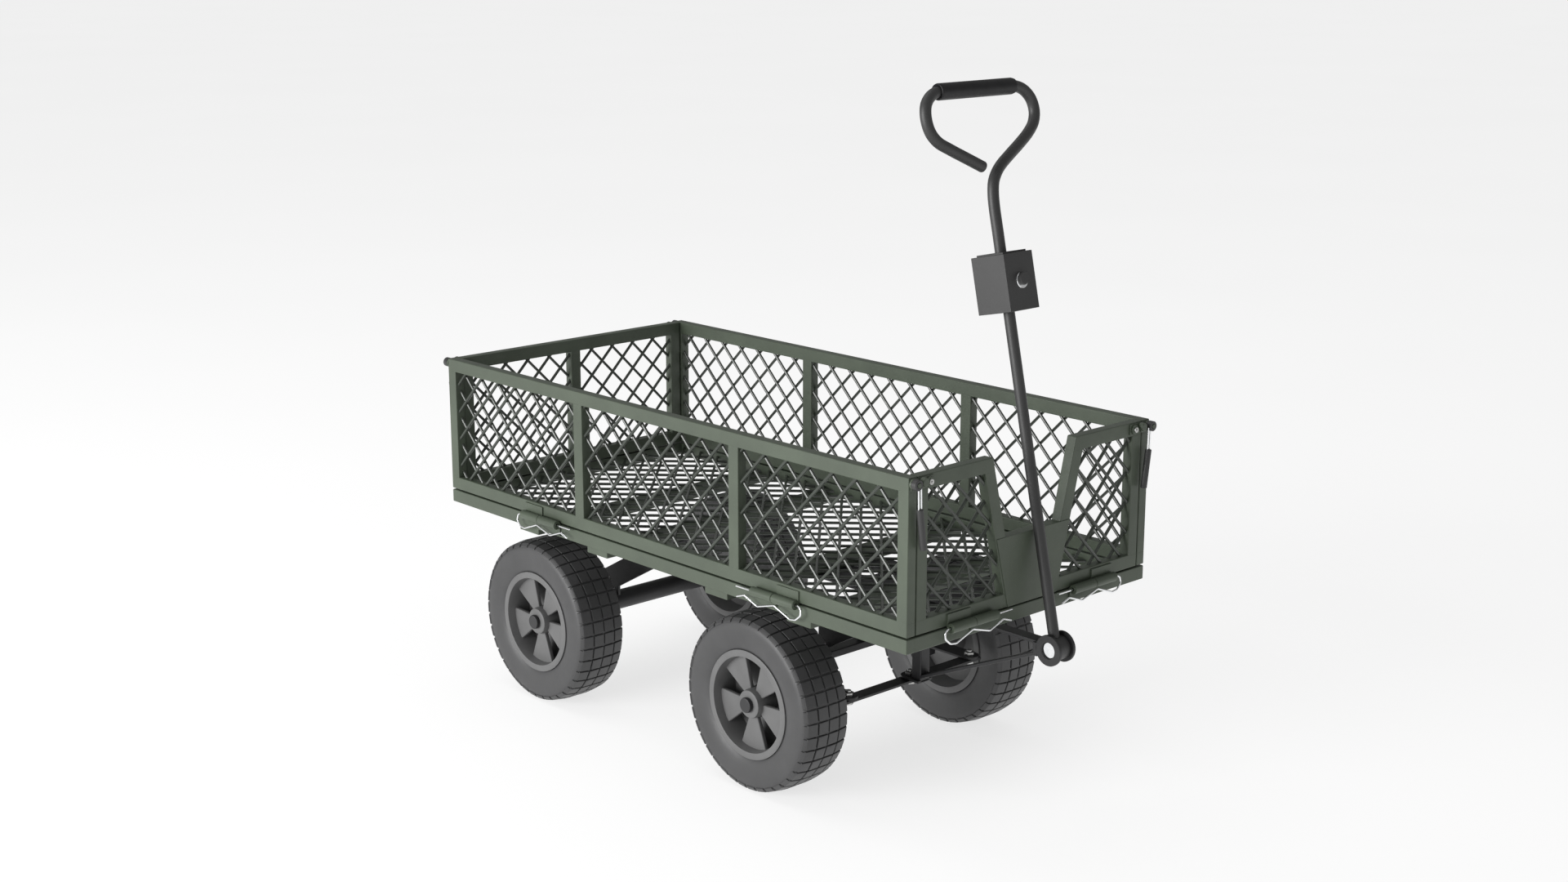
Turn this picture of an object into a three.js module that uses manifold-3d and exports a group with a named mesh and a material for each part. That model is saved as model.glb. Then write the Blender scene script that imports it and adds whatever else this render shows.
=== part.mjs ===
// Steel mesh garden cart: tubular deck, three fold-down mesh sides, a fixed notched front,
// pneumatic wheels, a steered front axle and a D-handle on a convertible hitch box.
//
// Millimetres, +Z up. x = 0 is the centre plane, -y is the front, where the handle is, and
// z = 0 is the ground. "Right" is -x and "left" is +x, as seen by someone who pulls the cart.

import * as THREE from 'three';
import { mergeVertices } from 'three/addons/utils/BufferGeometryUtils.js';
import Module from 'manifold-3d';

const wasm = await Module();
wasm.setup();

// ---------------------------------------------------------------- driving dimensions

const GAP = 0.3;               // clearance between pieces that touch
const EMBED = 0.6;             // how far welded shapes run into each other
const Y_SHIFT = 32.95;         // puts the middle of the whole cart at y = 0

const DECK_TOP = 384.5;        // ground to the top of the deck rim
const DECK = { halfX: 305, halfY: 640, depth: 25.3, tube: 20 };
const CROSS = { places: [-384, -170, 170, 384], width: 60, depth: 12, halfX: 303 };
const FLOOR = { low: -16.5, high: -7.5 };

const PANEL = { low: 3, high: 270.2, face: 24, rail: 25, depth: 20, endHalfX: 283 };
const SIDE_DIVIDERS = { places: [-219.5, 219.5], width: 26 };
const REAR_DIVIDERS = { places: [0], width: 24 };
const NOTCH = [[40, 3], [46, 28], [70, 128], [105, 270.2]];       // edge of the front notch
const NOTCH_POST = [[72, 28], [96, 128], [124, 245.2]];           // far side of its posts
const NOTCH_PLATE = { topZ: 127, topX: 93, lowX: 62, proud: 1.2 };

const MESH = { pitch: 147.3, strand: 6.4, thick: 9, border: 4 };
const FLOOR_PITCH = 73.7;

const HINGE = { out: 9.2, z: 1, barrel: 8.5, bore: 2.6, leaf: 3, low: -22, high: 24 };
const SIDE_HINGE = { centre: 333, inner: 278, outer: 388, leafOuter: 385 };
const END_HINGE = { centre: 155, inner: 98, outer: 211, leafOuter: 210 };
const WIRE = { radius: 1.8, arm: 4, lead: 12 };

const LATCH = { x: 297, z: 260, screwX: 260, screwZ: 257, plate: 2, barrel: 9, pin: 4 };

const WHEEL = { x: 248.8, radius: 162.2, halfWidth: 51.95, rim: 100.1, segments: 24 };
const AXLE_Z = -222.3;
const REAR_AXLE_Y = 383.6;
const KING = { x: 158, y: -243, arm: 115 };
const STUB = 8;
const HUB = { radius: 25, bore: 8.6, inner: -44, outer: 44.2, nut: 14 };
const STRUT = { x: 100, thick: 6, deep: 53 };

const SPOOL = { y: -696.5, z: -70.6, cheek: 27.1, half: 20.6, barrel: 21, tube: 16, bore: 14 };
const LEAN = THREE.MathUtils.degToRad(12.4);
const SHAFT = 9.75;
const HITCH = { halfX: 35.6, back: -36.1, front: 37.2, low: 575, high: 671.5, pin: 627, split: 598 };
const GRIP = { s: 947.5, radius: 14, bore: 11.2, from: -93, to: 86 };

// ---------------------------------------------------------------- materials

function paint(color, roughness, metalness) {
  return new THREE.MeshStandardMaterial({ color, roughness, metalness });
}
const COLORS = {
  green: () => paint(0x3f5a3c, 0.5, 0.3),
  black: () => paint(0x1d1d1e, 0.55, 0.3),
  chrome: () => paint(0xc9cbcc, 0.18, 1.0),
  tyre: () => paint(0x343536, 0.8, 0.0),
  rim: () => paint(0xb9bcbb, 0.45, 0.4),
  grip: () => paint(0x232425, 0.7, 0.0),
};

// ---------------------------------------------------------------- solid helpers

function solid(geometry) {
  const bare = geometry.index ? geometry.toNonIndexed() : geometry.clone();
  bare.deleteAttribute('normal');
  bare.deleteAttribute('uv');
  const merged = mergeVertices(bare, 1e-3);
  return new wasm.Manifold(new wasm.Mesh({
    numProp: 3,
    vertProperties: Float32Array.from(merged.attributes.position.array),
    triVerts: Uint32Array.from(merged.index.array),
  }));
}

function geometryOf(body) {
  const mesh = body.getMesh();
  const geometry = new THREE.BufferGeometry();
  geometry.setAttribute('position', new THREE.BufferAttribute(mesh.vertProperties, 3));
  geometry.setIndex(new THREE.BufferAttribute(mesh.triVerts, 1));
  geometry.computeVertexNormals();
  return geometry;
}

function join(...bodies) {
  return bodies.reduce((all, body) => all.add(body));
}

// A block between two x, y and z values each, in any order.
function block([x0, x1], [y0, y1], [z0, z1]) {
  const size = [Math.abs(x1 - x0), Math.abs(y1 - y0), Math.abs(z1 - z0)];
  const geometry = new THREE.BoxGeometry(...size);
  geometry.translate((x0 + x1) / 2, (y0 + y1) / 2, (z0 + z1) / 2);
  return solid(geometry);
}

// A round bar of the given radius from one point to another.
function bar(from, to, radius, sides = 16) {
  const a = new THREE.Vector3(...from);
  const b = new THREE.Vector3(...to);
  const geometry = new THREE.CylinderGeometry(radius, radius, a.distanceTo(b), sides);
  const along = b.clone().sub(a).normalize();
  geometry.applyQuaternion(new THREE.Quaternion().setFromUnitVectors(new THREE.Vector3(0, 1, 0), along));
  const middle = a.add(b).multiplyScalar(0.5);
  geometry.translate(middle.x, middle.y, middle.z);
  return solid(geometry);
}

// A round wire or tube along a smooth curve through the points.
function sweep(points, radius, sides, steps) {
  const path = new THREE.CatmullRomCurve3(points.map((p) => new THREE.Vector3(...p)), false, 'centripetal');
  const section = new THREE.Shape();
  for (let i = 0; i < sides; i += 1) {
    const turn = (i / sides) * Math.PI * 2;
    const move = i === 0 ? 'moveTo' : 'lineTo';
    section[move](radius * Math.cos(turn), radius * Math.sin(turn));
  }
  return solid(new THREE.ExtrudeGeometry(section, { steps, extrudePath: path, curveSegments: 1 }));
}

const BASES = {
  // outline (u, v) becomes (y, z), thickness runs along +x
  side: [new THREE.Vector3(0, 1, 0), new THREE.Vector3(0, 0, 1), new THREE.Vector3(1, 0, 0)],
  // outline (u, v) becomes (x, z), thickness runs along -y
  end: [new THREE.Vector3(1, 0, 0), new THREE.Vector3(0, 0, 1), new THREE.Vector3(0, -1, 0)],
  // outline (u, v) becomes (x, y), thickness runs along +z
  flat: [new THREE.Vector3(1, 0, 0), new THREE.Vector3(0, 1, 0), new THREE.Vector3(0, 0, 1)],
};

// Extrudes flat outlines in one of the three planes, starting at the given distance.
function plate(basis, outlines, start, thick) {
  const shapes = outlines.map((points) => new THREE.Shape(points.map(([u, v]) => new THREE.Vector2(u, v))));
  const geometry = new THREE.ExtrudeGeometry(shapes, { depth: thick, bevelEnabled: false });
  geometry.translate(0, 0, start);
  geometry.applyMatrix4(new THREE.Matrix4().makeBasis(...BASES[basis]));
  return solid(geometry);
}

function rectangle(u0, u1, v0, v1) {
  return [[u0, v0], [u1, v0], [u1, v1], [u0, v1]];
}

function mirrored(points) {
  return points.map(([u, v]) => [-u, v]).reverse();
}

// A flat sheet of square mesh, turned 45 degrees, with a solid border of its own outline.
function meshSheet(basis, outline, inner, pitch, start, thick) {
  const us = inner.map(([u]) => u);
  const vs = inner.map(([, v]) => v);
  const half = pitch / 2 - MESH.strand / 2;
  const diamonds = [];
  const rows = Math.ceil((Math.max(...vs) - Math.min(...vs)) / (pitch / 2)) + 1;
  const columns = Math.ceil((Math.max(...us) - Math.min(...us)) / pitch) + 1;
  const middleU = (Math.max(...us) + Math.min(...us)) / 2;
  const middleV = (Math.max(...vs) + Math.min(...vs)) / 2;
  for (let row = -rows; row <= rows; row += 1) {
    for (let column = -columns; column <= columns; column += 1) {
      const u = middleU + (column + (row % 2 ? 0.5 : 0)) * pitch;
      const v = middleV + row * (pitch / 2);
      const inside = u > Math.min(...us) - half && u < Math.max(...us) + half
        && v > Math.min(...vs) - half && v < Math.max(...vs) + half;
      if (inside) {
        diamonds.push([[u - half, v], [u, v - half], [u + half, v], [u, v + half]]);
      }
    }
  }
  const holes = plate(basis, diamonds, start - 1, thick + 2);
  const window = plate(basis, [inner], start - 1, thick + 2);
  return plate(basis, [outline], start, thick).subtract(holes.intersect(window));
}

// ---------------------------------------------------------------- scene graph

const cart = new THREE.Group();
cart.position.set(0, Y_SHIFT, DECK_TOP);     // everything below is measured from the deck rim's top

function place(name, body, material, group = cart) {
  const mesh = new THREE.Mesh(body instanceof THREE.BufferGeometry ? body : geometryOf(body), material);
  mesh.name = name;
  group.add(mesh);
}

// ---------------------------------------------------------------- deck and floor

function deckFrame() {
  const { halfX, halfY, depth, tube } = DECK;
  const outer = block([-halfX, halfX], [-halfY, halfY], [-depth, 0]);
  const inner = block([tube - halfX, halfX - tube], [tube - halfY, halfY - tube], [-depth - 1, 1]);
  const members = CROSS.places.map((y) => block([-CROSS.halfX, CROSS.halfX],
    [y - CROSS.width / 2, y + CROSS.width / 2], [-depth - CROSS.depth, EMBED - depth]));
  return join(outer.subtract(inner), ...members);
}

function floorMesh() {
  const x = DECK.halfX - DECK.tube - GAP;
  const y = DECK.halfY - DECK.tube - GAP;
  const outline = rectangle(-x, x, -y, y);
  const inner = rectangle(MESH.border - x, x - MESH.border, MESH.border - y, y - MESH.border);
  return meshSheet('flat', outline, inner, FLOOR_PITCH, FLOOR.low, FLOOR.high - FLOOR.low);
}

place('deck_frame', deckFrame(), COLORS.green());
place('floor_mesh', floorMesh(), COLORS.green());

// ---------------------------------------------------------------- hinges

// Maps hinge-local (along the barrel, outwards from the face, height) to the cart, for one edge.
// Edges: right and left run along y, front and rear run along x.
const EDGES = {
  right: { basis: 'side', face: DECK.halfX, out: -1, hinge: SIDE_HINGE },
  left: { basis: 'side', face: DECK.halfX, out: 1, hinge: SIDE_HINGE },
  front: { basis: 'end', face: DECK.halfY, out: -1, hinge: END_HINGE },
  rear: { basis: 'end', face: DECK.halfY, out: 1, hinge: END_HINGE },
};

function onEdge(edge, along, outward, height) {
  const across = edge.out * (edge.face + outward);
  return edge.basis === 'side' ? [across, along, height] : [along, across, height];
}

function edgeBlock(edge, along, outward, height) {
  const low = onEdge(edge, along[0], outward[0], height[0]);
  const high = onEdge(edge, along[1], outward[1], height[1]);
  return block([low[0], high[0]], [low[1], high[1]], [low[2], high[2]]);
}

function edgeBar(edge, along, outward, height, radius, sides) {
  return bar(onEdge(edge, along[0], outward, height), onEdge(edge, along[1], outward, height), radius, sides);
}

// The half of a hinge that is welded to the folding panel, at the end away from the middle.
function upperKnuckle(edge, side) {
  const { centre, outer, leafOuter } = edge.hinge;
  const along = [side * centre, side * outer];
  const leaf = edgeBlock(edge, [side * centre, side * leafOuter], [-EMBED, HINGE.leaf], [HINGE.z, HINGE.high]);
  const barrel = edgeBar(edge, along, HINGE.out, HINGE.z, HINGE.barrel, 12);
  return join(leaf, barrel).subtract(edgeBar(edge, [0, side * (outer + 1)], HINGE.out, HINGE.z, HINGE.bore, 8));
}

// The half that is screwed to the deck rim.
function lowerKnuckle(edge, side) {
  const { centre, inner } = edge.hinge;
  const along = [side * inner, side * (centre - GAP)];
  const leaf = edgeBlock(edge, along, [GAP, HINGE.leaf], [HINGE.low, HINGE.z]);
  const barrel = edgeBar(edge, along, HINGE.out, HINGE.z, HINGE.barrel, 12);
  return join(leaf, barrel).subtract(edgeBar(edge, [0, side * (centre + 1)], HINGE.out, HINGE.z, HINGE.bore, 8));
}

// A hairpin of spring wire: a straight leg through the barrel, a loop, and a waved arm below it.
const HAIRPIN_ROUTE = [
  // distance from the loop towards the tip, share of the arm's offset, height
  [163, 0, 0], [100, 0, 0], [40, 0, 0], [16, 0, 0], [3, 0, -0.3], [-6, 0.3, -5], [-7, 0.6, -16], [2, 0.9, -24], [20, 1, -21],
  [50, 1, -11.5], [74, 1, -18], [98, 1, -24], [118, 1, -17], [134, 1, -10], [153, 1, -15],
];

function hairpin(edge, side) {
  const loop = edge.hinge.outer + WIRE.lead;
  const points = HAIRPIN_ROUTE.map(([u, share, dz]) => onEdge(
    edge, side * (loop - u), HINGE.out + WIRE.arm * share, HINGE.z + dz));
  return sweep(points, WIRE.radius, 5, 20);
}

const END_NAMES = {
  right: { '-1': 'front', 1: 'rear' },
  left: { '-1': 'front', 1: 'rear' },
  front: { '-1': 'right', 1: 'left' },
  rear: { '-1': 'right', 1: 'left' },
};

for (const [name, edge] of Object.entries(EDGES)) {
  for (const side of [-1, 1]) {
    const end = END_NAMES[name][side];
    place(`hinge_${name}_${end}`, lowerKnuckle(edge, side), COLORS.green());
    place(`hairpin_${name}_${end}`, hairpin(edge, side), COLORS.chrome());
  }
}

// ---------------------------------------------------------------- side, rear and front panels

// A tubular frame of straight posts and rails, slotted in its dividers for the mesh sheet.
function straightFrame(edge, halfLength, dividers) {
  const { low, high, face, rail, depth } = PANEL;
  const start = edge.basis === 'side' ? edge.out : -edge.out;
  const from = start > 0 ? edge.face - depth : -edge.face;
  let frame = plate(edge.basis, [rectangle(-halfLength, halfLength, low, high)], from, depth);
  const edges = [face - halfLength, ...dividers.places.flatMap(
    (at) => [at - dividers.width / 2, at + dividers.width / 2]), halfLength - face];
  for (let i = 0; i < edges.length; i += 2) {
    const bay = rectangle(edges[i], edges[i + 1], low + rail, high - rail);
    frame = frame.subtract(plate(edge.basis, [bay], from - 1, depth + 2));
  }
  const slot = rectangle(face - halfLength, halfLength - face, low + rail, high - rail);
  frame = frame.subtract(plate(edge.basis, [slot], from + (depth - MESH.thick) / 2 - GAP, MESH.thick + 2 * GAP));
  return join(frame, upperKnuckle(edge, -1), upperKnuckle(edge, 1));
}

function straightMesh(edge, halfLength) {
  const { low, high, face, rail, depth } = PANEL;
  const start = edge.basis === 'side' ? edge.out : -edge.out;
  const from = start > 0 ? edge.face - depth : -edge.face;
  const u = halfLength - face - GAP;
  const v = [low + rail + GAP, high - rail - GAP];
  const outline = rectangle(-u, u, ...v);
  const inner = rectangle(MESH.border - u, u - MESH.border, v[0] + MESH.border, v[1] - MESH.border);
  return meshSheet(edge.basis, outline, inner, MESH.pitch, from + (depth - MESH.thick) / 2, MESH.thick);
}

place('side_panel_right', straightFrame(EDGES.right, DECK.halfY, SIDE_DIVIDERS), COLORS.green());
place('side_panel_left', straightFrame(EDGES.left, DECK.halfY, SIDE_DIVIDERS), COLORS.green());
place('rear_panel', straightFrame(EDGES.rear, PANEL.endHalfX, REAR_DIVIDERS), COLORS.green());
place('side_mesh_right', straightMesh(EDGES.right, DECK.halfY), COLORS.green());
place('side_mesh_left', straightMesh(EDGES.left, DECK.halfY), COLORS.green());
place('rear_mesh', straightMesh(EDGES.rear, PANEL.endHalfX), COLORS.green());

// The front panel has a V notch that the shaft passes through, closed low down by a plate.
function frontFrame() {
  const { low, high, face, rail, depth, endHalfX } = PANEL;
  const outline = [[-endHalfX, high], [-endHalfX, low], [endHalfX, low], [endHalfX, high],
    ...NOTCH.slice(1).reverse(), ...NOTCH.slice(1).map(([x, z]) => [-x, z])];
  const bay = [[face - endHalfX, low + rail], ...NOTCH_POST.map(([x, z]) => [-x, z]),
    [face - endHalfX, high - rail]];
  const back = DECK.halfY - depth;
  let frame = plate('end', [outline], back, depth);
  frame = frame.subtract(plate('end', [bay], back - 1, depth + 2));
  frame = frame.subtract(plate('end', [mirrored(bay)], back - 1, depth + 2));
  const shield = plate('end', [[[-NOTCH_PLATE.lowX, low], [NOTCH_PLATE.lowX, low],
    [NOTCH_PLATE.topX, NOTCH_PLATE.topZ], [-NOTCH_PLATE.topX, NOTCH_PLATE.topZ]]],
  DECK.halfY - EMBED, EMBED + NOTCH_PLATE.proud);
  return join(frame, shield, upperKnuckle(EDGES.front, -1), upperKnuckle(EDGES.front, 1));
}

function frontMesh(side) {
  const { low, high, face, rail, depth, endHalfX } = PANEL;
  const inset = (x, z, by) => [x + by * 1.03, z];
  const corner = (by) => [[endHalfX - face - by, low + rail + by], [endHalfX - face - by, high - rail - by]];
  const slant = (by) => NOTCH_POST.map(([x, z], i) => inset(x, z + [by, 0, -by][i], by));
  const outlineOf = (by) => [...slant(by), corner(by)[1], corner(by)[0]];
  const pick = side > 0 ? (points) => [...points].reverse() : (points) => points.map(([x, z]) => [-x, z]);
  const start = DECK.halfY - depth + (depth - MESH.thick) / 2;
  return meshSheet('end', pick(outlineOf(2 * GAP)), pick(outlineOf(MESH.border)), MESH.pitch, start, MESH.thick);
}

place('front_panel', frontFrame(), COLORS.green());
place('front_mesh_right', frontMesh(-1), COLORS.green());
place('front_mesh_left', frontMesh(1), COLORS.green());

// ---------------------------------------------------------------- corner latches

function latchBracket(edge, side) {
  const { x, z, screwX, screwZ, plate: thick, pin } = LATCH;
  const backing = edgeBlock(edge, [side * (screwX - 9), side * (x + 6)], [GAP, thick], [z - 9, z + 7]);
  const screw = bar(onEdge(edge, side * screwX, thick - EMBED, screwZ), onEdge(edge, side * screwX, 5, screwZ), 6, 12);
  const pivot = bar(onEdge(edge, side * x, thick - EMBED, z), onEdge(edge, side * x, 17, z), pin, 12);
  return join(backing, screw, pivot);
}

// Closed, the lever hangs from its pivot; two short links carry a rubber-covered grip.
function latchLever(edge, side) {
  const { x, z, barrel, pin } = LATCH;
  const eye = bar(onEdge(edge, side * x, 5.5, z), onEdge(edge, side * x, 16, z), barrel, 16);
  const links = edgeBlock(edge, [side * (x - 8), side * (x - 2)], [9, 14], [z - 44, z - 4]);
  const outline = [[287, -40], [281.5, -112], [270.5, -112], [276, -40]].map(([u, dz]) => [u + 6, z + dz]);
  const points = side > 0 ? outline : mirrored(outline);
  const from = edge.out < 0 ? edge.face + 6 : -edge.face - 17.5;
  const grip = plate('end', [points], from, 11.5);
  const hole = bar(onEdge(edge, side * x, 0, z), onEdge(edge, side * x, 20, z), pin + 0.5, 12);
  return join(eye, links, grip).subtract(hole);
}

for (const name of ['front', 'rear']) {
  for (const side of [-1, 1]) {
    const corner = `${name}_${END_NAMES[name][side]}`;
    place(`latch_bracket_${corner}`, latchBracket(EDGES[name], side), COLORS.chrome());
    place(`latch_lever_${corner}`, latchLever(EDGES[name], side), COLORS.grip());
  }
}

// ---------------------------------------------------------------- wheels

// Turns a closed profile of (radius, offset along the axle) into a ring around the x axis.
function ring(profile) {
  const geometry = new THREE.LatheGeometry(profile.map(([r, a]) => new THREE.Vector2(r, a)), WHEEL.segments);
  geometry.rotateZ(-Math.PI / 2);
  return solid(geometry);
}

function tyre() {
  const { radius, halfWidth, rim } = WHEEL;
  const half = [[rim + 0.5, 46], [132, halfWidth], [151, 44], [radius, 22]];
  const closed = [...half.map(([r, a]) => [r, -a]), ...[...half].reverse()];
  return ring([...closed, closed[0]]);
}

// Pressed rim with five flat spokes and a tubular hub.
function rimBody(out) {
  const { rim } = WHEEL;
  const half = [[86.1, 48.4], [rim, 48.4], [92, 34]];
  const closed = [...half, ...half.map(([r, a]) => [r, -a]).reverse()];
  let body = ring([...closed, closed[0]].reverse());
  const hub = bar([out * HUB.inner, 0, 0], [out * HUB.outer, 0, 0], HUB.radius, 12);
  const bore = bar([-60, 0, 0], [60, 0, 0], HUB.bore, 12);
  body = join(body, hub);
  for (let i = 0; i < 5; i += 1) {
    const turn = new THREE.Matrix4().makeRotationX((i * 2 * Math.PI) / 5);
    const spoke = new THREE.BoxGeometry(8, 34, 66);
    spoke.translate(out * 24, 0, -56);
    spoke.applyMatrix4(turn);
    body = join(body, solid(spoke));
  }
  return body.subtract(bore);
}

for (const [side, x] of [['right', -1], ['left', 1]]) {
  for (const [end, y] of [['front', KING.y], ['rear', REAR_AXLE_Y]]) {
    const wheel = new THREE.Group();
    wheel.position.set(x * WHEEL.x, y, AXLE_Z);
    cart.add(wheel);
    place(`tyre_${end}_${side}`, tyre(), COLORS.tyre(), wheel);
    place(`rim_${end}_${side}`, rimBody(x), COLORS.rim(), wheel);
  }
}

// ---------------------------------------------------------------- rear axle and struts

const NUT = { from: WHEEL.x + HUB.outer + 1, to: WHEEL.x + HUB.outer + 9 };

function rearAxle() {
  const at = (x) => [x, REAR_AXLE_Y, AXLE_Z];
  return join(
    bar(at(-198), at(198), 19.5, 20),
    bar(at(-NUT.to), at(NUT.to), STUB, 16),
    bar(at(NUT.from), at(NUT.to), HUB.nut, 12),
    bar(at(-NUT.to), at(-NUT.from), HUB.nut, 12),
  );
}

const UNDER_CROSS = -DECK.depth - CROSS.depth - GAP;

// A flat bar on edge, saddled on the axle tube and rising forward to the cross member.
function rearStrut(side) {
  const slope = 0.56;
  const lowEdge = (y) => -198 + slope * (383 - y);
  const meets = 383 - (UNDER_CROSS + 198 - STRUT.deep) / slope;
  const outline = [[362, -210], [404, -210], [404, lowEdge(404) + STRUT.deep], [meets, UNDER_CROSS],
    [150, UNDER_CROSS], [150, lowEdge(150)], [362, lowEdge(362)]];
  const saddle = bar([-200, REAR_AXLE_Y, AXLE_Z], [200, REAR_AXLE_Y, AXLE_Z], 19.5 + 2 * GAP, 20);
  return plate('side', [outline], side * STRUT.x - STRUT.thick / 2, STRUT.thick).subtract(saddle);
}

// ---------------------------------------------------------------- front axle, knuckles, tie rod

const BEAM = { low: -200, high: -163, halfY: 20, halfX: 178 };
const ARM = { low: -212, high: -207, half: 18 };
const TIE = { low: -217.6, high: -212.5, halfX: 176 };

function frontStrut(side) {
  const slope = 0.55;
  const foot = BEAM.high + GAP;
  const lowEdge = (y) => -163 + slope * (KING.y - y);
  const meets = KING.y - (UNDER_CROSS + 163 - STRUT.deep) / slope;
  const outline = [[-223, foot], [-223, lowEdge(-223) + STRUT.deep], [meets, UNDER_CROSS],
    [-404, UNDER_CROSS], [-404, lowEdge(-404)], [KING.y, foot]];
  return plate('side', [outline], side * STRUT.x - STRUT.thick / 2, STRUT.thick);
}

// Vertical bar at a place in plan.
function upright(x, y, low, high, radius, sides = 12) {
  return bar([x, y, low], [x, y, high], radius, sides);
}

function frontBeam() {
  const body = block([-BEAM.halfX, BEAM.halfX], [KING.y - BEAM.halfY, KING.y + BEAM.halfY], [BEAM.low, BEAM.high]);
  const right = upright(-KING.x, KING.y, BEAM.low - 1, BEAM.high + 1, 9.2);
  const left = upright(KING.x, KING.y, BEAM.low - 1, BEAM.high + 1, 9.2);
  return body.subtract(right).subtract(left);
}

// A vertical post on the beam that the tongue turns about, with a wide foot and a cap.
const POST = { radius: 8, bore: 9, foot: 17 };
const STRAP = { low: -68, high: -62, half: 13 };

function tonguePost() {
  return join(
    upright(0, KING.y, BEAM.high + GAP, STRAP.low - GAP, POST.foot),
    upright(0, KING.y, STRAP.low - 5, STRAP.high + 5, POST.radius),
    upright(0, KING.y, STRAP.high + GAP, STRAP.high + 8, POST.foot - 4),
  );
}

function roundedBar(y0, y1, half, x = 0) {
  const points = [[x - half, y0], [x + half, y0]];
  const steps = 8;
  for (let i = 0; i <= steps; i += 1) {
    const turn = (i / steps) * Math.PI;
    const away = Math.sign(y1 - y0) * Math.sin(turn);
    points.push([x + half * Math.cos(turn), y1 + half * away]);
  }
  return y1 > y0 ? points : points.reverse();
}

// Steering knuckle: kingpin, stub axle and steering arm, with the arm's bolt.
function knuckle(side) {
  const x = side * KING.x;
  const tip = KING.y - KING.arm;
  return join(
    upright(x, KING.y, ARM.low, BEAM.high + 6, 8.6),
    upright(x, KING.y, ARM.high - EMBED, BEAM.low - GAP, 15),
    upright(x, KING.y, BEAM.high + GAP, BEAM.high + 9, 14, 12),
    block([x - 15, x + 15], [KING.y - 15, KING.y + 15], [AXLE_Z - 13, ARM.high]),
    bar([x, KING.y, AXLE_Z], [side * NUT.to, KING.y, AXLE_Z], STUB),
    bar([side * NUT.from, KING.y, AXLE_Z], [side * NUT.to, KING.y, AXLE_Z], HUB.nut, 12),
    plate('flat', [roundedBar(KING.y + 15, tip, ARM.half, x)], ARM.low, ARM.high - ARM.low),
    ...armBolt(x, tip),
  );
}

// Pivot bolt between a steering arm and the tie rod below it.
function armBolt(x, y) {
  return [
    upright(x, y, TIE.low - 6, ARM.high + 1, 6, 12),
    upright(x, y, TIE.low - 6, TIE.low - GAP, 10, 12),
    upright(x, y, ARM.high - EMBED, ARM.high + 7, 10, 12),
  ];
}

function tieRod() {
  const y = KING.y - KING.arm;
  const ends = 14;
  const outline = [[-TIE.halfX, y - ends], [TIE.halfX, y - ends], [TIE.halfX, y + ends], [-TIE.halfX, y + ends]];
  const holes = [-KING.x, 0, KING.x].map((x) => upright(x, y, TIE.low - 1, TIE.high + 1, 6.8));
  return holes.reduce((body, hole) => body.subtract(hole), plate('flat', [outline], TIE.low, TIE.high - TIE.low));
}

// ---------------------------------------------------------------- tongue

// Upper strap, post, lower strap and the two cheeks that carry the handle's pivot.
function tongue() {
  const tip = KING.y - KING.arm;
  const yokeY = [SPOOL.y + 24, SPOOL.y + 34];
  const upper = plate('flat', [roundedBar(SPOOL.y + 30, KING.y, STRAP.half)], STRAP.low, STRAP.high - STRAP.low);
  const post = block([-12, 12], [-395, -372], [ARM.low, STRAP.high]);
  const foot = plate('flat', [roundedBar(-395, tip, ARM.half)], ARM.low, ARM.high - ARM.low);
  const lower = plate('side', [[[-388, -206], [-388, -200], [yokeY[0] + 4, -80], [yokeY[0] + 4, -86]]], -12.5, 25);
  const yoke = block([-SPOOL.half, SPOOL.half], yokeY, [-87, STRAP.high]);
  const cheeks = [-1, 1].map((side) => bar(
    [side * (SPOOL.half - 5.8), SPOOL.y, SPOOL.z], [side * SPOOL.half, SPOOL.y, SPOOL.z], SPOOL.cheek, 20));
  const pivotHole = bar([-30, SPOOL.y, SPOOL.z], [30, SPOOL.y, SPOOL.z], SPOOL.tube + 0.6, 20);
  const postHole = upright(0, KING.y, STRAP.low - 1, STRAP.high + 1, POST.bore);
  return join(upper, post, foot, lower, yoke, ...cheeks, ...armBolt(0, tip)).subtract(pivotHole).subtract(postHole);
}

place('rear_axle', rearAxle(), COLORS.black());
place('front_axle_beam', frontBeam(), COLORS.black());
place('tongue_post', tonguePost(), COLORS.black());
place('tie_rod', tieRod(), COLORS.black());
place('tongue', tongue(), COLORS.black());
for (const [side, x] of [['right', -1], ['left', 1]]) {
  place(`rear_strut_${side}`, rearStrut(x), COLORS.black());
  place(`front_strut_${side}`, frontStrut(x), COLORS.black());
  place(`knuckle_${side}`, knuckle(x), COLORS.black());
}

// ---------------------------------------------------------------- handle, leaning back on the notch plate

// Inside this group z runs up the shaft from the pivot, and -y is square to it, forwards.
const handle = new THREE.Group();
handle.position.set(0, SPOOL.y, SPOOL.z);
handle.rotation.x = -LEAN;
cart.add(handle);

function pivotTube() {
  const half = SPOOL.half + 0.8;
  const outer = bar([-half, 0, 0], [half, 0, 0], SPOOL.tube, 20);
  return outer.subtract(bar([-half - 1, 0, 0], [half + 1, 0, 0], SPOOL.bore, 20));
}

function lowerShaft() {
  const half = SPOOL.half - 5.8 - GAP;
  const barrel = bar([-half, 0, 0], [half, 0, 0], SPOOL.barrel, 20);
  const shaft = bar([0, 0, SPOOL.tube + 2], [0, 0, HITCH.split], SHAFT, 16);
  return join(barrel, shaft).subtract(bar([-half - 1, 0, 0], [half + 1, 0, 0], SPOOL.tube + 0.6, 20));
}

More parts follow.
